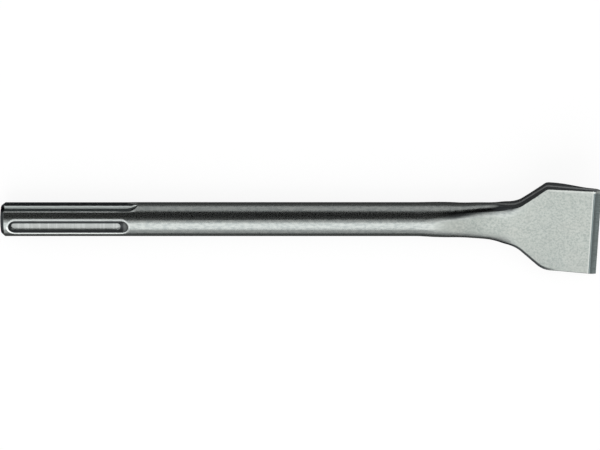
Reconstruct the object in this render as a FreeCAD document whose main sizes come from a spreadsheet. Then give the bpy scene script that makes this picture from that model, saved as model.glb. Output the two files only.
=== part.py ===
import FreeCAD, Part
import math
import os
import Sketcher

# Flat chisel for a rotary hammer: one forging with a grooved 18 mm shank, a round bar
# and a cranked spade blade. In the body's own axes +X runs from the striking end to the
# cutting edge, +Y lies across the blade and +Z is the normal of the blade's front face.
# The body is then rolled about its bar to the attitude in which it lies on a table.

NODE = "flat_chisel"

# Driving dimensions in millimetres and degrees
sizes = {
    # round bar
    "BarRadius": 9.0,
    "OverallLength": 314.6,
    "EndChamferLength": 1.9,
    "EndChamferRadius": 7.3,
    "LoftStart": 218.0,
    "NeckStart": 219.0,
    "RingSpacing": 0.3,
    "RestRoll": 30.5,
    # two closed grooves that hold the tool in the hammer
    "LockGrooveStart": 4.1,
    "LockGrooveEnd": 67.5,
    "LockCutterRadius": 3.74,
    "LockCutterHeight": 10.24,
    "LockCutterRounding": 3.6,
    "LockFloorStart": 5.4,
    "LockFloorEnd": 62.9,
    "LockFloorHalfWidth": 2.3,
    "LockFloorRounding": 2.0,
    "LockFloorHeight": 6.35,
    # three open keyways that turn the tool
    "KeywayCutEnd": 78.9,
    "KeywayRunout": 14.0,
    "WideKeywayWidth": 6.6,
    "WideKeywayFloor": 6.0,
    "NarrowKeywayWidth": 3.9,
    "NarrowKeywayFloor": 6.87,
    "NarrowKeywayOffset": 2.75,
    # rounded lips of the cuts and rims of the blade
    "LockLipRounding": 0.8,
    "WideLipRounding": 0.6,
    "NarrowLipRounding": 0.4,
    "BladeRimRounding": 0.5,
    # blade in plan, where the outline's straight runs meet
    "TrimStation": 255.0,
    "TrimHalfWidth": 10.5,
    "FlareStation": 271.6,
    "FlareHalfWidth": 11.5,
    "FlareRounding": 12.0,
    "ShoulderStation": 286.7,
    "ShoulderHalfWidth": 24.75,
    "NearShoulderRounding": 11.0,
    "FarShoulderRounding": 3.0,
    "TipReach": 330.0,
    "TipHalfWidth": 25.55,
    # cutting edge in side view, two points on each bevel
    "FrontBevelStation": 308.2,
    "FrontBevelHeight": 15.15,
    "FrontEdgeHeight": 14.0,
    "BackBevelStation": 309.0,
    "BackBevelHeight": 9.0,
    "BackEdgeHeight": 13.7,
    # how far a cut reaches past the metal
    "CutMargin": 2.0,
    "CutReach": 60.0,
    "TipWidth": 120.0,
}

# Forged end, section by section: place along the bar, half width, height of the front
# face, height of the back face and squareness, where 2 is an ellipse
forgedStations = [
    (223.0, 9.10, 9.08, -8.90, 2.02),
    (228.0, 9.25, 9.15, -8.55, 2.10),
    (236.0, 9.35, 8.65, -7.65, 2.30),
    (244.0, 9.40, 7.95, -6.20, 2.45),
    (252.0, 9.90, 7.40, -4.90, 2.65),
    (260.0, 10.65, 7.60, -3.30, 2.70),
    (268.0, 13.60, 8.95, -1.00, 2.90),
    (276.0, 22.00, 10.30, 1.40, 3.20),
    (284.0, 31.00, 11.45, 2.86, 3.40),
    (292.0, 38.00, 12.15, 4.21, 3.80),
    (300.0, 42.00, 13.10, 7.10, 4.00),
    (308.0, 44.00, 14.25, 10.30, 4.00),
    (316.0, 45.00, 15.35, 13.30, 4.00),
]
stationColumns = ("Station", "HalfWidth", "Front", "Back", "Squareness")
pointsPerQuarter = 12
quarterSamples = 400
rimTolerance = 0.01

document = FreeCAD.newDocument("FlatChisel")


def make_sheet():
    sheet = document.addObject("Spreadsheet::Sheet", "Sizes")
    rows = list(sizes.items())
    for number, station in enumerate(forgedStations, start=1):
        for column, value in zip(stationColumns, station):
            rows.append((f"Forged{column}_{number}", value))
    for row, (name, value) in enumerate(rows, start=1):
        sheet.set(f"A{row}", name)
        sheet.set(f"B{row}", str(value))
        sheet.setAlias(f"B{row}", name)
    document.recompute()
    return sheet


sheet = make_sheet()


def size(name):
    """The number that a signed alias stands for, such as -CutMargin; 0 stands for itself."""
    if name == 0:
        return 0.0
    sign = -1.0 if name.startswith("-") else 1.0
    return sign * float(sheet.get(name.lstrip("-")))


def bind(item, path, name):
    """Drive one property of an object by a signed alias of the sheet."""
    sign = "-" if name.startswith("-") else ""
    item.setExpression(path, sign + "Sizes." + name.lstrip("-"))


def new_sketch(body, name, role, offset=None):
    """A sketch on one of the body's origin planes."""
    plane = next(item for item in body.Origin.OriginFeatures if item.Role == role)
    sketch = body.newObject("Sketcher::SketchObject", name)
    sketch.AttachmentSupport = [(plane, "")]
    sketch.MapMode = "FlatFace"
    if offset is not None:
        sketch.AttachmentOffset = offset
    return sketch


def pin_point(sketch, geometry, end, place, label):
    """Hold a point of the sketch at its place, given as two aliases."""
    for kind, axis, name in (("DistanceX", -2, place[0]), ("DistanceY", -1, place[1])):
        if name == 0:
            sketch.addConstraint(Sketcher.Constraint("PointOnObject", geometry, end, axis))
            continue
        index = sketch.addConstraint(Sketcher.Constraint(kind, -1, 1, geometry, end, size(name)))
        sketch.renameConstraint(index, label + kind[-1])
        bind(sketch, "Constraints." + label + kind[-1], name)


def draw_outline(sketch, corners):
    """A closed outline through corners, each (x alias, y alias, alias of its rounding or None)."""
    places = [FreeCAD.Vector(size(x), size(y), 0) for x, y, _ in corners]
    count = len(corners)
    entries, exits, arcs = [], [], {}
    for i, (_, _, rounding) in enumerate(corners):
        here = places[i]
        if rounding is None:
            entries.append(here)
            exits.append(here)
            continue
        radius = size(rounding)
        back = (places[i - 1] - here).normalize()
        ahead = (places[(i + 1) % count] - here).normalize()
        reach = radius / math.tan(back.getAngle(ahead) / 2)
        centre = here + (back + ahead).normalize() * math.hypot(radius, reach)
        entries.append(here + back * reach)
        exits.append(here + ahead * reach)
        arcs[i] = (centre, radius, back.cross(ahead).z < 0)
    lines = []
    for i in range(count):
        segment = Part.LineSegment(exits[i], entries[(i + 1) % count])
        lines.append(sketch.addGeometry(segment, False))
    for i, (x, y, rounding) in enumerate(corners):
        before, after = lines[i - 1], lines[i]
        if rounding is None:
            sketch.addConstraint(Sketcher.Constraint("Coincident", before, 2, after, 1))
            pin_point(sketch, after, 1, (x, y), f"Corner{i}")
            continue
        centre, radius, left = arcs[i]
        ends = [entries[i], exits[i]] if left else [exits[i], entries[i]]
        angles = [math.atan2(point.y - centre.y, point.x - centre.x) for point in ends]
        if angles[1] < angles[0]:
            angles[1] += 2 * math.pi
        circle = Part.Circle(centre, FreeCAD.Vector(0, 0, 1), radius)
        arc = sketch.addGeometry(Part.ArcOfCircle(circle, *angles), False)
        first, last = (1, 2) if left else (2, 1)
        sketch.addConstraint(Sketcher.Constraint("Tangent", before, 2, arc, first))
        sketch.addConstraint(Sketcher.Constraint("Tangent", arc, last, after, 1))
        index = sketch.addConstraint(Sketcher.Constraint("Radius", arc, radius))
        sketch.renameConstraint(index, f"Rounding{i}")
        bind(sketch, f"Constraints.Rounding{i}", rounding)
        point = sketch.addGeometry(Part.Point(places[i]), True)
        sketch.addConstraint(Sketcher.Constraint("PointOnObject", point, 1, before))
        sketch.addConstraint(Sketcher.Constraint("PointOnObject", point, 1, after))
        pin_point(sketch, point, 1, (x, y), f"Corner{i}")


def quarter_outline(half_width, half_height, squareness, start):
    """Points spaced evenly along a quarter of a superellipse that starts at a turn in radians."""
    power = 2 / squareness
    fine, run = [], [0.0]
    for i in range(quarterSamples + 1):
        turn = start + math.pi / 2 * i / quarterSamples
        across, up = math.cos(turn), math.sin(turn)
        across = half_width * math.copysign(abs(across) ** power, across)
        up = half_height * math.copysign(abs(up) ** power, up)
        if fine:
            run.append(run[-1] + math.hypot(across - fine[-1][0], up - fine[-1][1]))
        fine.append((across, up))
    points = []
    for i in range(pointsPerQuarter + 1):
        goal = run[-1] * i / pointsPerQuarter
        after = next((j for j in range(1, len(run)) if run[j] >= goal), len(run) - 1)
        share = (goal - run[after - 1]) / (run[after] - run[after - 1])
        (x0, y0), (x1, y1) = fine[after - 1], fine[after]
        points.append((x0 + share * (x1 - x0), y0 + share * (y1 - y0)))
    return points


def forged_section(number):
    """One closed section of the forged end: front, two sides and back, smooth where they meet."""
    station, half_width, front, back, squareness = (
        size(f"Forged{column}_{number}") for column in stationColumns
    )
    middle, half_height = (front + back) / 2, (front - back) / 2
    parameters = [i / pointsPerQuarter for i in range(pointsPerQuarter + 1)]
    headings = [
        FreeCAD.Vector(0, across * half_width, up * half_height)
        for across, up in ((-1, 1), (-1, -1), (1, -1), (1, 1))
    ]
    edges = []
    for quarter in range(4):
        start = math.pi / 2 * quarter + math.pi / 4
        outline = quarter_outline(half_width, half_height, squareness, start)
        curve = Part.BSplineCurve()
        curve.interpolate(
            Points=[FreeCAD.Vector(station, across, middle + up) for across, up in outline],
            Parameters=parameters,
            InitialTangent=headings[quarter],
            FinalTangent=headings[(quarter + 1) % 4],
        )
        edges.append(curve.toShape())
    return Part.Wire(edges)


def bar_section(station):
    """The bar's own round section, as four arcs that match a forged section's quarters."""
    radius = size("BarRadius")
    edges = []
    for quarter in range(4):
        turns = [math.pi / 4 * (2 * quarter + step) for step in (1, 2, 3)]
        points = [FreeCAD.Vector(station, radius * math.cos(t), radius * math.sin(t)) for t in turns]
        edges.append(Part.Arc(*points).toShape())
    return Part.Wire(edges)


def make_forged_end():
    """The lofted end as a solid; no sketch constraint gives its sections, so code sets it."""
    first, last, spacing = size("LoftStart"), size("NeckStart"), size("RingSpacing")
    stations = (first, first + spacing, last - spacing, last)
    sections = [bar_section(station) for station in stations]
    sections += [forged_section(number + 1) for number in range(len(forgedStations))]
    blank = document.addObject("Part::Feature", "ForgedEnd")
    blank.Shape = Part.makeLoft(sections, True, False)
    return blank


def add_bar(body):
    """The round bar with its chamfered striking end, turned in one profile."""
    sketch = new_sketch(body, "BarProfile", "XZ_Plane")
    draw_outline(sketch, [
        (0, 0, None),
        ("LoftStart", 0, None),
        ("LoftStart", "BarRadius", None),
        ("EndChamferLength", "BarRadius", None),
        (0, "EndChamferRadius", None),
    ])
    bar = body.newObject("PartDesign::Revolution", "Bar")
    bar.Profile = sketch
    bar.ReferenceAxis = (sketch, ["H_Axis"])
    bar.Angle = 360
    document.recompute()
    return bar


def cut_through(body, name, sketch, width):
    """A pocket cut evenly to both sides of its sketch."""
    pocket = body.newObject("PartDesign::Pocket", name)
    pocket.Profile = sketch
    pocket.SideType = "Symmetric"
    bind(pocket, "Length", width)
    before = body.Shape.Volume
    document.recompute()
    report_cut(name, before, body.Shape.Volume)
    return pocket


def report_cut(name, before, after):
    """A cut that removes nothing is a fault, and raises."""
    print(f"{name}: {before - after:.1f} mm3 removed")
    if after > before - 1:
        raise RuntimeError(name + " removes nothing")


def trim_blade_side(body, name, side, shoulder_rounding):
    """Trims one side of the forged end to the blade's outline; side is a sign, '' or '-'."""
    sketch = new_sketch(body, name + "Outline", "XY_Plane")
    draw_outline(sketch, [
        ("TrimStation", side + "TrimHalfWidth", None),
        ("FlareStation", side + "FlareHalfWidth", "FlareRounding"),
        ("ShoulderStation", side + "ShoulderHalfWidth", shoulder_rounding),
        ("TipReach", side + "TipHalfWidth", None),
        ("TipReach", side + "CutReach", None),
        ("TrimStation", side + "CutReach", None),
    ])
    return cut_through(body, name, sketch, "CutReach")


def cut_bevels(body):
    """The two ground bevels that meet in the cutting edge, cut from the side."""
    sketch = new_sketch(body, "BevelOutline", "XZ_Plane")
    draw_outline(sketch, [
        ("FrontBevelStation", "FrontBevelHeight", None),
        ("OverallLength", "FrontEdgeHeight", None),
        ("OverallLength", "BackEdgeHeight", None),
        ("BackBevelStation", "BackBevelHeight", None),
        ("BackBevelStation", "-CutReach", None),
        ("TipReach", "-CutReach", None),
        ("TipReach", "CutReach", None),
        ("FrontBevelStation", "CutReach", None),
    ])
    return cut_through(body, "Bevels", sketch, "TipWidth")


def cut_lock_grooves(body):
    """A closed groove with round ends and flanks and a flat floor, mirrored to the back."""
    height = FreeCAD.Vector(0, size("LockCutterHeight"), 0)
    sketch = new_sketch(body, "LockGrooveProfile", "XZ_Plane", FreeCAD.Placement(height, FreeCAD.Rotation()))
    bind(sketch, "AttachmentOffset.Base.y", "LockCutterHeight")
    draw_outline(sketch, [
        ("LockGrooveStart", 0, None),
        ("LockGrooveEnd", 0, None),
        ("LockGrooveEnd", "LockCutterRadius", "LockCutterRounding"),
        ("LockGrooveStart", "LockCutterRadius", "LockCutterRounding"),
    ])
    before = body.Shape.Volume
    groove = body.newObject("PartDesign::Groove", "LockGroove")
    groove.Profile = sketch
    groove.ReferenceAxis = (sketch, ["H_Axis"])
    groove.Angle = 360
    document.recompute()
    report_cut("LockGroove", before, body.Shape.Volume)
    floor = FreeCAD.Vector(0, 0, size("LockFloorHeight"))
    outline = new_sketch(body, "LockFloorOutline", "XY_Plane", FreeCAD.Placement(floor, FreeCAD.Rotation()))
    bind(outline, "AttachmentOffset.Base.z", "LockFloorHeight")
    draw_outline(outline, [
        ("LockFloorStart", "-LockFloorHalfWidth", "LockFloorRounding"),
        ("LockFloorEnd", "-LockFloorHalfWidth", "LockFloorRounding"),
        ("LockFloorEnd", "LockFloorHalfWidth", "LockFloorRounding"),
        ("LockFloorStart", "LockFloorHalfWidth", "LockFloorRounding"),
    ])
    before = body.Shape.Volume
    pocket = body.newObject("PartDesign::Pocket", "LockFloor")
    pocket.Profile = outline
    pocket.Reversed = True
    bind(pocket, "Length", "CutReach")
    document.recompute()
    report_cut("LockFloor", before, body.Shape.Volume)
    return mirror(body, "LockGrooves", [groove, pocket])


def mirror(body, name, features):
    """The same cuts again on the other side of the bar's middle plane."""
    plane = next(item for item in body.Origin.OriginFeatures if item.Role == "XY_Plane")
    before = body.Shape.Volume
    copy = body.newObject("PartDesign::Mirrored", name)
    copy.Originals = features
    copy.MirrorPlane = (plane, [""])
    body.Tip = copy
    document.recompute()
    report_cut(name, before, body.Shape.Volume)
    return copy


def cut_keyway(body, name, side, offset, floor, width):
    """A flat-bottomed keyway, open at the striking end, that a round cutter runs out of."""
    place = FreeCAD.Placement(FreeCAD.Vector(0, 0, size(offset)), FreeCAD.Rotation())
    sketch = new_sketch(body, name + "Profile", "XY_Plane", place)
    if offset != 0:
        bind(sketch, "AttachmentOffset.Base.z", offset)
    draw_outline(sketch, [
        ("-CutMargin", side + floor, None),
        ("KeywayCutEnd", side + floor, "KeywayRunout"),
        ("KeywayCutEnd", side + "CutReach", None),
        ("-CutMargin", side + "CutReach", None),
    ])
    return cut_through(body, name, sketch, width)


def round_edges(body, name, rounding, chosen):
    """Rounds the edges of the body that a test picks by their place."""
    base = body.Tip
    picked = [f"Edge{n}" for n, edge in enumerate(base.Shape.Edges, start=1) if chosen(edge)]
    before = body.Shape.Volume
    fillet = body.newObject("PartDesign::Fillet", name)
    fillet.Base = (base, picked)
    bind(fillet, "Radius", rounding)
    document.recompute()
    report_cut(f"{name} on {len(picked)} edges", before, body.Shape.Volume)
    return fillet


def is_shank_rim(edge):
    """True for the rim of a groove or keyway: it lies on the bar and isn't the bar's own seam."""
    first, last = edge.ParameterRange
    points = [edge.valueAt(first + share * (last - first)) for share in (0, 0.25, 0.5, 0.75, 1)]
    on_bar = all(abs(math.hypot(p.y, p.z) - size("BarRadius")) < rimTolerance for p in points)
    along = size("EndChamferLength") + rimTolerance < edge.CenterOfMass.x < size("KeywayCutEnd")
    on_seam = all(abs(p.y) < rimTolerance for p in points)
    return on_bar and along and not on_seam


def round_shank_rims(body):
    """The lips of the lock grooves above and below, and of the keyways on either side."""
    reach = size("WideKeywayFloor")
    round_edges(body, "LockGrooveLips", "LockLipRounding",
                lambda edge: is_shank_rim(edge) and abs(edge.CenterOfMass.z) > reach)
    round_edges(body, "WideKeywayLips", "WideLipRounding",
                lambda edge: is_shank_rim(edge) and edge.CenterOfMass.y < -reach)
    round_edges(body, "NarrowKeywayLips", "NarrowLipRounding",
                lambda edge: is_shank_rim(edge) and edge.CenterOfMass.y > reach)


def is_blade_rim(edge):
    """True where a trimmed side meets the forged front or back face."""
    beside = abs(edge.CenterOfMass.y) > size("BarRadius") and edge.BoundBox.XMin > size("TrimStation")
    return beside and edge.Curve.TypeId == "Part::GeomBSplineCurve"


def check(item):
    """Stops the script when an object failed without raising."""
    if "Invalid" in item.State or "Error" in item.State:
        raise RuntimeError(item.Label + " failed: " + ", ".join(item.State))


def make_chisel():
    body = document.addObject("PartDesign::Body", "Chisel")
    body.Label = NODE
    body.BaseFeature = make_forged_end()
    add_bar(body)
    trim_blade_side(body, "FarSideTrim", "", "FarShoulderRounding")
    trim_blade_side(body, "NearSideTrim", "-", "NearShoulderRounding")
    cut_bevels(body)
    cut_lock_grooves(body)
    cut_keyway(body, "WideKeyway", "-", 0, "WideKeywayFloor", "WideKeywayWidth")
    narrow = cut_keyway(
        body, "NarrowKeyway", "", "NarrowKeywayOffset", "NarrowKeywayFloor", "NarrowKeywayWidth"
    )
    mirror(body, "NarrowKeyways", [narrow])
    round_shank_rims(body)
    round_edges(body, "BladeRims", "BladeRimRounding", is_blade_rim)
    roll = FreeCAD.Rotation(FreeCAD.Vector(1, 0, 0), size("RestRoll"))
    body.Placement = FreeCAD.Placement(FreeCAD.Vector(), roll)
    document.recompute()
    return body


chisel = make_chisel()
for item in document.Objects:
    check(item)
if chisel.Shape.isNull() or not chisel.Shape.isValid():
    raise RuntimeError("the chisel's shape is not valid")
box = chisel.Shape.BoundBox
print(f"volume {chisel.Shape.Volume:.0f} mm3, solids {len(chisel.Shape.Solids)}, faces {len(chisel.Shape.Faces)}")
print(f"box x {box.XMin:.2f} {box.XMax:.2f} y {box.YMin:.2f} {box.YMax:.2f} z {box.ZMin:.3f} {box.ZMax:.2f}")
os.makedirs("parts", exist_ok=True)
chisel.Shape.exportStep(f"parts/{NODE}.step")
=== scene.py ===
import bpy
import math
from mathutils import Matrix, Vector

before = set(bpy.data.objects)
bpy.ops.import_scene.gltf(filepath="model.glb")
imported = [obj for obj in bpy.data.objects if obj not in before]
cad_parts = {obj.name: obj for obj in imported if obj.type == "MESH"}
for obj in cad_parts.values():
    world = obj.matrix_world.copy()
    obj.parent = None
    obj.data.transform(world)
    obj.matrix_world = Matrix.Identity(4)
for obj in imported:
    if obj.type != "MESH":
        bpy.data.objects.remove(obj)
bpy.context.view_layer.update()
print("frame loaded")


# shader maths as plain expressions: a wrapped socket adds its own Math nodes
class Value:
    def __init__(self, tree, socket):
        self.tree, self.socket = tree, socket

    def maths(self, operation, *others):
        return self.tree.node("ShaderNodeMath", {"operation": operation}, (self, *others)).out()

    def __add__(self, other):
        return self.maths("ADD", other)

    def __radd__(self, other):
        return self.maths("ADD", other)

    def __sub__(self, other):
        return self.maths("SUBTRACT", other)

    def __rsub__(self, other):
        return self.tree.node("ShaderNodeMath", {"operation": "SUBTRACT"}, (other, self)).out()

    def __mul__(self, other):
        return self.maths("MULTIPLY", other)

    def __rmul__(self, other):
        return self.maths("MULTIPLY", other)

    def squared(self):
        return self * self

    def root(self):
        return self.maths("SQRT")

    def absolute(self):
        return self.maths("ABSOLUTE")

    def atLeast(self, least):
        return self.maths("MAXIMUM", least)

    def roundedLeast(self, other, reach):  # the smaller of two values, eased where they meet
        return self.maths("SMOOTH_MIN", other, reach)

    def roundedMost(self, other, reach):  # the larger of two values, eased in the same way
        return self.maths("SMOOTH_MAX", other, reach)

    def limited(self):  # kept between 0 and 1
        return self.tree.node("ShaderNodeClamp", {}, {"Value": self}).out()

    def after(self, border):  # 0 before the border's start, 1 after its end, smooth between
        start, end = border
        settings = {"interpolation_type": "SMOOTHSTEP"}
        inputs = {"Value": self, "From Min": start, "From Max": end}
        return self.tree.node("ShaderNodeMapRange", settings, inputs).out()

    def before(self, border):
        return 1 - self.after(border)

    def weakening(self, share):  # 1 where the value is 0, less by the share where it is 1
        return 1 - self * share

    def lifted(self, least):  # runs from least to 1 in place of from 0 to 1
        return self * (1 - least) + least


class Node:
    def __init__(self, tree, node):
        self.tree, self.node = tree, node

    def out(self, name=0):
        return Value(self.tree, self.node.outputs[name])


class Tree:
    def __init__(self, owner):
        owner.use_nodes = True
        self.nodes, self.links = owner.node_tree.nodes, owner.node_tree.links
        self.nodes.clear()

    def node(self, kind, settings, inputs):  # settings first, then its sockets' values or links
        made = self.nodes.new(kind)
        for name, value in settings.items():
            setattr(made, name, value)
        pairs = inputs.items() if isinstance(inputs, dict) else enumerate(inputs)
        for name, value in pairs:
            if isinstance(value, Value):
                self.links.new(value.socket, made.inputs[name])
            else:
                made.inputs[name].default_value = value
        return Node(self, made)

    def mixColour(self, factor, first, second):
        first, second = [c if isinstance(c, Value) else (*c, 1.0) for c in (first, second)]
        inputs = {0: factor, 6: first, 7: second}  # the Mix node's colours are sockets 6 and 7
        return self.node("ShaderNodeMix", {"data_type": "RGBA"}, inputs).out(2)


# the camera looks straight down, as the photograph does
cameraSizes = {
    "place": (0.1579, -0.00312, 1.300),
    "lens": 147.3,
    "sensorWidth": 36.0,
    "seesFrom": 0.01,
    "seesTo": 20.0,
}


def makeCamera():
    sizes = cameraSizes
    bpy.ops.object.camera_add(location=sizes["place"], rotation=(0, 0, 0))
    camera = bpy.context.object
    camera.name = "camera"
    camera.data.lens = sizes["lens"]
    camera.data.sensor_width = sizes["sensorWidth"]
    camera.data.clip_start, camera.data.clip_end = sizes["seesFrom"], sizes["seesTo"]
    bpy.context.scene.camera = camera
    print("camera made")


# a white floor under one soft lamp; dark cards make the dark bands that the steel reflects
stageSizes = {
    "whiteColour": (1, 1, 1, 1),
    "floorMiddle": (0.16, 0, -0.00905),
    "floorRadius": 6.0,
    "floorSides": 96,
    "seenWhite": 0.86,          # share of the floor's look that is plain white, the rest is lit
    "worldSeen": 1.0,
    "worldLight": 0.85,
    "lampFrom": (0.05, -1.20, 1.02),
    "lampTo": (0.16, 0, 0),
    "lampWidth": 1.4,
    "lampHeight": 1.50,
    "lampPower": 12.0,
}
cards = {
    # name: middle, point it faces or None for level, width, depth, grey
    "overheadCard": ((0.16, 0.98, 1.42), None, 1.5, 2.16, 0.01),
    "endCard": ((1.20, -1.20, 0.62), (0.31, 0, 0.02), 1.0, 1.1, 0.01),
    # painted shade: a grey sheet seen only in reflections, standing in for the floor's shade
    # under the tool
    "underShadeCard": ((0.16, 0.035, -0.00902), None, 0.36, 0.160, 0.155),
}


def seenRays(tree):  # 1 for rays from the camera, from gloss and through glass
    rays = tree.node("ShaderNodeLightPath", {}, {})
    seen = rays.out("Is Camera Ray") + rays.out("Is Glossy Ray") + rays.out("Is Transmission Ray")
    return seen.limited()


def makeFloor():
    sizes = stageSizes
    bpy.ops.mesh.primitive_circle_add(
        vertices=sizes["floorSides"], radius=sizes["floorRadius"], fill_type="NGON",
        location=sizes["floorMiddle"])
    floor = bpy.context.object
    floor.name = "floor"
    material = bpy.data.materials.new("whiteFloor")
    tree = Tree(material)
    whiteColour = sizes["whiteColour"]
    lit = tree.node("ShaderNodeBsdfDiffuse", {}, {"Color": whiteColour, "Roughness": 1.0})
    white = tree.node("ShaderNodeEmission", {}, {"Color": whiteColour, "Strength": 1.0})
    factor = seenRays(tree) * sizes["seenWhite"]
    mixed = tree.node("ShaderNodeMixShader", {}, (factor, lit.out(), white.out()))
    tree.node("ShaderNodeOutputMaterial", {}, {"Surface": mixed.out()})
    floor.data.materials.append(material)
    print("floor made")


def facing(place, target):
    return (Vector(target) - Vector(place)).to_track_quat("-Z", "Y").to_euler()


def makeCards():
    for name, (place, target, width, depth, grey) in cards.items():
        material = bpy.data.materials.new(name)
        tree = Tree(material)
        dark = tree.node("ShaderNodeBsdfDiffuse", {}, {"Color": (grey, grey, grey, 1)})
        tree.node("ShaderNodeOutputMaterial", {}, {"Surface": dark.out()})
        turn = facing(place, target) if target else (0, 0, 0)
        bpy.ops.mesh.primitive_plane_add(size=1.0, location=place, rotation=turn)
        card = bpy.context.object
        card.name = name
        card.scale = (width, depth, 1)
        card.data.materials.append(material)
        card.visible_camera = card.visible_diffuse = card.visible_shadow = False
    print("cards made")


def makeLamp():
    sizes = stageSizes
    bpy.ops.object.light_add(type="AREA", location=sizes["lampFrom"])
    lamp = bpy.context.object
    lamp.name = "softLamp"
    lamp.data.shape = "RECTANGLE"
    lamp.data.size, lamp.data.size_y = sizes["lampWidth"], sizes["lampHeight"]
    lamp.data.energy = sizes["lampPower"]
    lamp.rotation_euler = facing(sizes["lampFrom"], sizes["lampTo"])
    print("lamp made")


def makeWorld():
    sizes = stageSizes
    world = bpy.data.worlds.new("studio")
    bpy.context.scene.world = world
    tree = Tree(world)
    spread = sizes["worldSeen"] - sizes["worldLight"]
    strength = seenRays(tree) * spread + sizes["worldLight"]
    inputs = {"Color": sizes["whiteColour"], "Strength": strength}
    sky = tree.node("ShaderNodeBackground", {}, inputs)
    tree.node("ShaderNodeOutputWorld", {}, {"Surface": sky.out()})
    print("world made")


# one forging with several finishes and with painted light and shade, told apart by place and by
# the way the surface faces
toolRoll = math.radians(30.5)  # about its bar
steelNoises = {
    # name: scale, or scales along, across and up; detail; roughness
    "drawn": ((60, 2500, 2500), 2.0, 0.5),      # fine lines along the bar
    "mottles": ((420, 900, 900), 3.0, 0.5),     # patches of a few millimetres
    "clouds": (55.0, 2.0, 0.5),                 # wide faint patches on the blade
    "grains": (900.0, 3.0, 0.7),                # the blasted forging
    "ticks": ((900, 60, 60), 2.0, 0.5),         # cutter marks across the cuts
    "ground": ((90, 2200, 2200), 2.0, 0.5),     # grinding lines down the bevels
}
noiseBorders = {  # where in a noise's range its marks begin and are full
    "mottles": (0.35, 0.70),
    "clouds": (0.4, 0.75),
    "grains": (0.37, 0.67),
    "ticks": (0.45, 0.65),
    "ground": (0.4, 0.7),
}


class Steel(Tree):  # has the tool's own place and facing, and the noises of its finishes
    def __init__(self, owner):
        super().__init__(owner)
        coordinates = self.node("ShaderNodeTexCoord", {}, {})
        self.place = self.turned(coordinates.out("Object"))
        normal = self.turned(coordinates.out("Normal"))
        self.along, self.across, self.up = self.split(self.place)
        self.facesAlong, self.facesAcross, self.facesUp = self.split(normal)
        self.facesOver = self.facesUp.squared()  # the same for a front and a back
        self.noises = {name: self.noise(*values) for name, values in steelNoises.items()}

    def turned(self, vector):  # from the frame's axes to the tool's own
        inputs = {"Vector": vector, "Rotation": (-toolRoll, 0, 0)}
        return self.node("ShaderNodeMapping", {"vector_type": "POINT"}, inputs).out()

    def split(self, vector):
        parts = self.node("ShaderNodeSeparateXYZ", {}, {"Vector": vector})
        return parts.out("X"), parts.out("Y"), parts.out("Z")

    def noise(self, scale, detail, roughness):
        place = self.place
        if isinstance(scale, tuple):
            place = self.node("ShaderNodeMapping", {}, {"Vector": place, "Scale": scale}).out()
            scale = 1.0
        inputs = {"Vector": place, "Scale": scale, "Detail": detail, "Roughness": roughness}
        return self.node("ShaderNodeTexNoise", {}, inputs).out("Fac")

    def marks(self, name):
        return self.noises[name].after(noiseBorders[name])


# a border runs from where it starts to where it is full: in metres along the tool, across it or
# up from its axis, and in square metres where its name ends in Squared
shankBorders = {
    "chamfer": (0.0017, 0.0020),
    "start": (0.0018, 0.0021),
    "end": (0.0785, 0.0795),
    "cutsSquared": (7.75e-5, 7.95e-5),      # from the axis, where the bar's surface is at 8.1e-5
    "besideSquared": (2.4e-5, 2.7e-5),      # the keyways are further across, the groove is not
    "visibleKeys": (0.0, 0.001),
    "keysEnd": (0.070, 0.072),
    "nearKey": (0.0005, 0.0015),
    "keyEdge": (-0.0045, -0.0039),          # painted shade along the edge below the lower visible keyway
    "keyLipSide": (0.0, 0.001),
    "keyLipInnerSquared": (1.45e-5, 1.7e-5),
    "keyLipOuterSquared": (2.5e-5, 2.9e-5),
    "keyLipRunout": (0.060, 0.065),
    "webSquared": (1.0e-6, 1.8e-6),         # the thin web between the two visible keyways
    "webTopSquared": (7.1e-5, 7.3e-5),
    "webEnd": (0.069, 0.071),
    "frontSide": (-0.001, 0.001),
    "grooveFloor": (0.0015, 0.0018),
    "groove": (0.0035, 0.0037),
    "grooveRunout": (0.0643, 0.0653),
    "runoutMiddle": (0.0030, 0.0034),
    "lipInner": (0.0036, 0.0038),
    "lipOuter": (0.0044, 0.0047),
    "lipRunout": (0.0655, 0.0672),
    "farLip": (-0.0005, 0.0005),
    "endLip": (0.0635, 0.0655),
}
# middle lines of the closed groove and of its flat floor: start, end, and how far each one looks
# moved to the near side
grooveLines = {"groove": (0.00784, 0.06376, 0.0), "floor": (0.0072, 0.0615, 0.00065)}
# how much of a mask is taken off where it weakens, or left where it is least
shankShares = {
    "otherFloorsLeft": 0.35,                # keyway floors other than the nearest one's
    "hiddenFlanksLeft": 0.25,               # flanks of the groove on the hidden side
    "flankRunoutOff": 0.35,
    "keyLipRunoutOff": 0.6,
    "lipRunoutOff": 0.7,
}
# how the surface faces: shares of its normal along one axis, squared where it is facesOver's
facingBorders = {
    "keyWallsSquared": (0.5, 0.7),
    "keyFloorsSquared": (0.3, 0.5),
    "forgedSquared": (0.88, 0.975),
    "rimsSquared": (0.60, 0.92),
    "wallsSquared": (0.01, 0.04),
    "endFace": (0.85, 0.95),
    "neckFlank": (0.72, 0.84),
    "bevels": (0.3, 0.5),
    "ridge": (0.5, 0.8),
    "farEdge": (0.90, 0.97),
}


def distanceFromLine(tree, start, end, moved):  # from a line along the tool, beside its middle
    short, over = (start - tree.along).atLeast(0), (tree.along - end).atLeast(0)
    beside = tree.across + moved
    return (short.squared() + over.squared() + beside.squared()).root()


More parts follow.
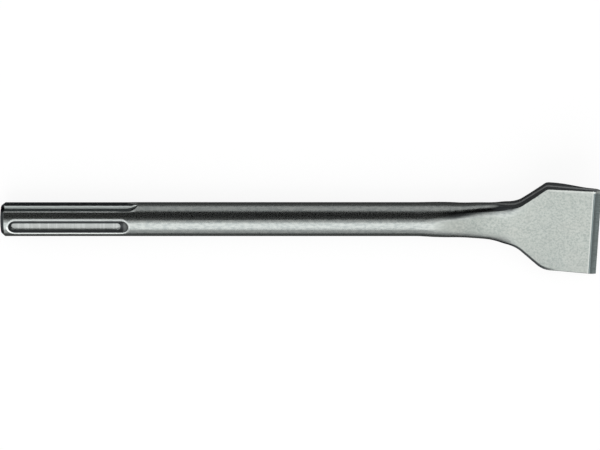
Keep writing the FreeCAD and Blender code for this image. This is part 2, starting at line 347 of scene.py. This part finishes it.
def keywayMasks(tree, onShank, beside):  # painted highlights on the keyways' walls and lips, painted shade on their dark parts
    borders, faces, shares = shankBorders, facingBorders, shankShares
    along, across, up = tree.along, tree.across, tree.up
    fromAxis, offCentre = across.squared() + up.squared(), up.squared()
    cuts = fromAxis.before(borders["cutsSquared"]) * onShank
    visibleKeys = across.after(borders["visibleKeys"])
    nearKey = visibleKeys * up.after(borders["nearKey"])
    floors = cuts * beside * tree.facesOver.before(faces["keyFloorsSquared"])
    lips = beside * onShank * offCentre.after(borders["keyLipInnerSquared"])
    lips = lips * offCentre.before(borders["keyLipOuterSquared"])
    lips = lips * visibleKeys * up.after(borders["keyLipSide"])
    lips = lips * along.after(borders["keyLipRunout"]).weakening(shares["keyLipRunoutOff"])
    edge = visibleKeys * onShank * up.before(borders["keyEdge"])
    webTop = beside * offCentre.before(borders["webSquared"])
    webTop = webTop * fromAxis.after(borders["webTopSquared"]) * visibleKeys
    return {
        "cuts": cuts,
        "keyWalls": cuts * beside * tree.facesOver.after(faces["keyWallsSquared"]),
        "keyFloors": floors * nearKey.lifted(shares["otherFloorsLeft"]),
        "keyLips": lips * along.before(borders["keysEnd"]),
        "keyEdge": edge * along.before(borders["keysEnd"]),
        "webTop": webTop * onShank * along.before(borders["webEnd"]),
    }


def grooveMasks(tree, onShank, beside):  # painted shade on the closed grooves' flanks, painted highlights on their lips
    borders, shares = shankBorders, shankShares
    along, across = tree.along, tree.across
    fromGroove = distanceFromLine(tree, *grooveLines["groove"])
    fromFloor = distanceFromLine(tree, *grooveLines["floor"])
    flanks = fromFloor.after(borders["grooveFloor"]) * fromGroove.before(borders["groove"])
    flanks = flanks * (1 - beside) * onShank
    runout = along.after(borders["grooveRunout"]) * fromGroove.before(borders["runoutMiddle"])
    flanks = flanks * runout.weakening(shares["flankRunoutOff"])
    frontSide = tree.up.after(borders["frontSide"])
    lips = fromGroove.after(borders["lipInner"]) * fromGroove.before(borders["lipOuter"])
    lips = lips * (1 - beside) * onShank
    farLips = across.after(borders["farLip"]) + along.after(borders["endLip"])
    return {
        "flanks": flanks * frontSide.lifted(shares["hiddenFlanksLeft"]),
        "lips": lips * along.after(borders["lipRunout"]).weakening(shares["lipRunoutOff"]),
        "farLips": farLips.limited(),
    }


def shankMasks(tree):
    borders = shankBorders
    onShank = tree.along.after(borders["start"]) * tree.along.before(borders["end"])
    beside = tree.across.squared().after(borders["besideSquared"])
    endFace = tree.facesAlong.absolute()
    # painted shade: the chamfer at the striking end is painted dark
    chamfer = tree.along.before(borders["chamfer"]) * endFace.before(facingBorders["endFace"])
    keyways, grooves = keywayMasks(tree, onShank, beside), grooveMasks(tree, onShank, beside)
    return {"chamfer": chamfer, **keyways, **grooves}


bladeBorders = {
    "forged": (0.222, 0.240),               # the ground bar gives way to the blasted forging
    "blade": (0.256, 0.266),
    "nearShade": (-0.026, 0.0),
    "nearRim": (0.0012, 0.0018),
    "nearRimStart": (0.254, 0.262),
    "nearRimEnd": (0.286, 0.296),
    "wallMiddle": (0.0003, 0.0011),
    "bevelStart": (0.3104, 0.3107),
    "bevelRoot": (0.3107, 0.3115),
    "bevelTip": (0.3115, 0.3135),
    "ridgeStart": (0.3099, 0.3101),
    "ridgeEnd": (0.3104, 0.3106),
    "farEdge": (0.0011, 0.0017),
    "farEdgeStart": (0.286, 0.290),
    "neckShade": (-0.0008, 0.0010),
    "neckShadeStart": (0.226, 0.240),
    "neckShadeEnd": (0.268, 0.276),
}
# the blade's outline: how far along and to the near side a line's point is, and the shares of
# along and across in the distance from that line
outlineLines = {
    "neck": (0.255, 0.0105, 0.060, 0.998),
    "flare": (0.2716, 0.0115, 0.6595, 0.7516),
}
outlineSizes = {
    "neckRounding": 0.004,
    "shoulderRounding": 0.0043,
    "shoulder": 0.2867,                     # the flare ends here and the tip begins
    "tipHalfWidth": 0.02475,
    "tipWidening": 0.0185,
}
# the middle line of the side walls, where a lighter reflection is painted: where it starts along
# and up, and its rise
wallLine = {"along": 0.260, "up": 0.00215, "rise": 0.2115}
# the neck's painted shade starts beyond a curve across from the axis
neckCurve = {"start": 0.2391, "across": 0.0047, "slope": 0.15, "bend": 1.3}


def insideLine(tree, along, near, alongShare, acrossShare):
    return (tree.along - along) * alongShare + (tree.across + near) * acrossShare


def tipWidening(tree):
    return (tree.along - outlineSizes["shoulder"]) * outlineSizes["tipWidening"]


def insideNearSide(tree):  # how far a place of the blade lies inside its near outline
    sizes = outlineSizes
    neck, flare = [insideLine(tree, *outlineLines[name]) for name in ("neck", "flare")]
    tip = tipWidening(tree) + (tree.across + sizes["tipHalfWidth"])
    flared = neck.roundedMost(flare, sizes["neckRounding"])
    return flared.roundedLeast(tip, sizes["shoulderRounding"])


def insideFarTip(tree):
    return outlineSizes["tipHalfWidth"] + tipWidening(tree) - tree.across


def neckShade(tree):  # painted shade: the dark strip between the neck's flank and the bright forged face
    borders, curve = bladeBorders, neckCurve
    run = (tree.along - curve["start"]).atLeast(0)
    edge = run.squared() * curve["bend"] + run * curve["slope"] + curve["across"]
    strip = (tree.across - edge).after(borders["neckShade"])
    strip = strip * tree.facesAcross.before(facingBorders["neckFlank"])
    strip = strip * tree.along.after(borders["neckShadeStart"])
    return strip * tree.along.before(borders["neckShadeEnd"])


def bladeMasks(tree):  # the forging's face, the ground bevels, and painted light and shade on its rims and walls
    borders, faces = bladeBorders, facingBorders
    along, facesOver, facesUp = tree.along, tree.facesOver, tree.facesUp
    blade = along.after(borders["blade"])
    # painted shade along the near rim of the flare
    nearRim = insideNearSide(tree).before(borders["nearRim"])
    nearRim = nearRim * along.after(borders["nearRimStart"])
    # painted shade: the side walls are painted dark, with a lighter reflection painted along
    # their middles
    walls = facesOver.before(faces["wallsSquared"]) * blade
    offMiddle = tree.up - wallLine["up"] - (along - wallLine["along"]) * wallLine["rise"]
    # painted highlights along the ridge above the bevel and along the far edge
    ridge = along.after(borders["ridgeStart"]) * along.before(borders["ridgeEnd"])
    farEdge = insideFarTip(tree).before(borders["farEdge"])
    farEdge = farEdge * along.after(borders["farEdgeStart"])
    bevelFacing = facesUp.absolute().after(faces["bevels"])
    return {
        "forged": along.after(borders["forged"]) * facesOver.after(faces["forgedSquared"]),
        # painted shade on the blade's rims
        "rims": facesOver.before(faces["rimsSquared"]) * blade,
        "nearRim": nearRim * along.before(borders["nearRimEnd"]),
        "walls": walls,
        "wallMiddles": offMiddle.absolute().before(borders["wallMiddle"]) * walls,
        "bevels": along.after(borders["bevelStart"]) * bevelFacing,
        "ridge": ridge * facesUp.after(faces["ridge"]),
        "farEdge": farEdge * facesUp.after(faces["farEdge"]),
        "neckShade": neckShade(tree),
    }


steelLooks = {
    "barColour": (0.270, 0.285, 0.275),
    "patchColour": (0.16, 0.18, 0.18),
    "patchShare": 0.60,
    "bladeColour": (0.388, 0.412, 0.388),
    "grainColour": (0.265, 0.295, 0.28),
    "grainShare": 0.85,
    "nearShadeColour": (0.27, 0.30, 0.295),  # painted shade: the blade's near side is painted a little darker
    "nearShadeShare": 0.20,
    "cloudColour": (0.52, 0.50, 0.46),
    "cloudShare": 0.12,
    "cutColour": (0.40, 0.42, 0.41),
    "tickColour": (0.62, 0.64, 0.63),
    "tickShare": 0.35,
    # painted highlights on the keyway walls and lips
    "keyWallColour": (0.92, 0.97, 0.95),
    "keyLipColour": (0.92, 0.96, 0.95),
    # painted highlights on the groove lips, brighter on the near ones
    "lipColour": (0.60, 0.63, 0.62),
    "nearLipColour": (0.92, 0.95, 0.93),
    "paintedShadeColour": (0.022, 0.025, 0.028),    # painted shade and dark reflections in corners, on the chamfer and rims
    "paintedShadeShare": 0.93,
    "neckShadeShare": 0.9,
    # painted shade on the blade's side walls, with a lighter reflection painted along their
    # middles
    "wallColour": (0.070, 0.074, 0.076),
    "wallMiddleColour": (0.26, 0.27, 0.27),
    # painted shade: the bevels are painted darker than the face, darkest at the root
    "bevelRootColour": (0.085, 0.105, 0.105),
    "bevelColour": (0.16, 0.19, 0.19),
    "bevelTipColour": (0.24, 0.28, 0.275),
    "groundColour": (0.12, 0.14, 0.14),
    "groundShare": 0.5,
    "paintedHighlightColour": (0.50, 0.52, 0.50),       # painted highlights on the line above the bevel and on the far edge
    "ridgeShare": 0.8,
    "farEdgeShare": 0.6,
    "edgeTint": (0.6, 0.6, 0.6, 1),
    "barRoughness": 0.20,
    "drawnRoughness": 0.06,
    "mottleRoughness": 0.08,
    "bladeRoughness": 0.50,
    "cutRoughness": 0.55,
    "bevelRoughness": 0.30,
    "mottleHeight": 0.30,
    "drawnHeight": 0.05,
    "tickHeight": 0.25,
    "groundHeight": 0.2,
    "bumpStrength": 0.25,
    "bumpDistance": 0.0002,
}


# painted shade and dark reflections: where the steel is painted dark
def paintedShadeMask(masks):
    dark = masks["keyFloors"] * (1 - masks["keyLips"])
    for name in ("keyEdge", "flanks", "webTop", "chamfer", "rims", "nearRim"):
        dark = dark + masks[name]
    dark = dark + masks["neckShade"] * steelLooks["neckShadeShare"]
    return dark.limited() * steelLooks["paintedShadeShare"]


def bevelShade(tree):  # painted shade on the bevels, darkest at the root, lightest at the edge
    looks, borders = steelLooks, bladeBorders
    pastRoot, atTip = [tree.along.after(borders[name]) for name in ("bevelRoot", "bevelTip")]
    shade = tree.mixColour(pastRoot, looks["bevelRootColour"], looks["bevelColour"])
    return tree.mixColour(atTip, shade, looks["bevelTipColour"])


def steelColour(tree, masks):
    looks, forged, cuts, bevels = steelLooks, masks["forged"], masks["cuts"], masks["bevels"]
    # painted shade on the blade's near side
    nearShade = tree.across.before(bladeBorders["nearShade"]) * forged * looks["nearShadeShare"]
    # painted highlights on the groove lips, brighter on the near ones
    lipHighlights = tree.mixColour(masks["farLips"], looks["nearLipColour"], looks["lipColour"])
    paintedHighlights = masks["ridge"] * looks["ridgeShare"] + masks["farEdge"] * looks["farEdgeShare"]
    colour = tree.mixColour(forged, looks["barColour"], looks["bladeColour"])
    layers = (  # each one covers those before it
        (tree.marks("mottles") * (1 - forged) * looks["patchShare"], looks["patchColour"]),
        (tree.marks("grains") * forged * looks["grainShare"], looks["grainColour"]),
        (nearShade, looks["nearShadeColour"]),
        (tree.marks("clouds") * forged * looks["cloudShare"], looks["cloudColour"]),
        (cuts, looks["cutColour"]),
        (tree.marks("ticks") * cuts * looks["tickShare"], looks["tickColour"]),
        # painted highlights on the keyway walls
        (masks["keyWalls"], looks["keyWallColour"]),
        # painted highlights on the groove lips
        (masks["lips"], lipHighlights),
        # painted highlights on the keyway lips
        (masks["keyLips"], looks["keyLipColour"]),
        # painted shade and dark reflections
        (paintedShadeMask(masks), looks["paintedShadeColour"]),
        # painted shade on the side walls, and a painted reflection along their middles
        (masks["walls"], looks["wallColour"]),
        (masks["wallMiddles"], looks["wallMiddleColour"]),
        # painted shade on the bevels
        (bevels, bevelShade(tree)),
        (tree.marks("ground") * bevels * looks["groundShare"], looks["groundColour"]),
        # painted highlights on the ridge and far edge
        (paintedHighlights.limited(), looks["paintedHighlightColour"]),
    )
    for share, layerColour in layers:
        colour = tree.mixColour(share, colour, layerColour)
    return colour


def steelRoughness(tree, masks):
    looks, noises, cuts = steelLooks, tree.noises, masks["cuts"]
    bar, blade = looks["barRoughness"], looks["bladeRoughness"]
    rougher = cuts * (1 - masks["keyFloors"]) + masks["lips"] * (1 - cuts)
    rougher = (rougher + masks["keyLips"] + masks["rims"]).limited()
    roughness = bar + noises["drawn"] * looks["drawnRoughness"]
    roughness = roughness + noises["mottles"] * looks["mottleRoughness"]
    roughness = roughness + masks["forged"] * (blade - bar)
    roughness = roughness + rougher * (looks["cutRoughness"] - bar)
    return roughness + masks["bevels"] * (looks["bevelRoughness"] - blade)


def steelBump(tree, masks):
    looks, noises, forged = steelLooks, tree.noises, masks["forged"]
    height = noises["mottles"] * looks["mottleHeight"] * (1 - forged)
    height = height + noises["grains"] * forged
    height = height + noises["drawn"] * looks["drawnHeight"] * (1 - forged)
    height = height + noises["ticks"] * masks["cuts"] * looks["tickHeight"]
    height = height + noises["ground"] * masks["bevels"] * looks["groundHeight"]
    inputs = {
        "Strength": looks["bumpStrength"], "Distance": looks["bumpDistance"], "Height": height}
    return tree.node("ShaderNodeBump", {}, inputs).out()


def makeSteel():
    material = bpy.data.materials.new("forgedSteel")
    tree = Steel(material)
    masks = {**shankMasks(tree), **bladeMasks(tree)}
    shader = tree.node("ShaderNodeBsdfPrincipled", {}, {
        "Base Color": steelColour(tree, masks),
        "Metallic": 1.0,
        "Roughness": steelRoughness(tree, masks),
        "Specular Tint": steelLooks["edgeTint"],
        "Normal": steelBump(tree, masks),
    })
    tree.node("ShaderNodeOutputMaterial", {}, {"Surface": shader.out()})
    print("steel made")
    return material


def dressChisel():
    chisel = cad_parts["flat_chisel"]
    steel = makeSteel()
    for slot in chisel.material_slots:
        slot.material = steel
    print("chisel dressed")


makeCamera()
makeFloor()
makeCards()
makeLamp()
makeWorld()
dressChisel()
bpy.context.scene.view_settings.view_transform = "Standard"
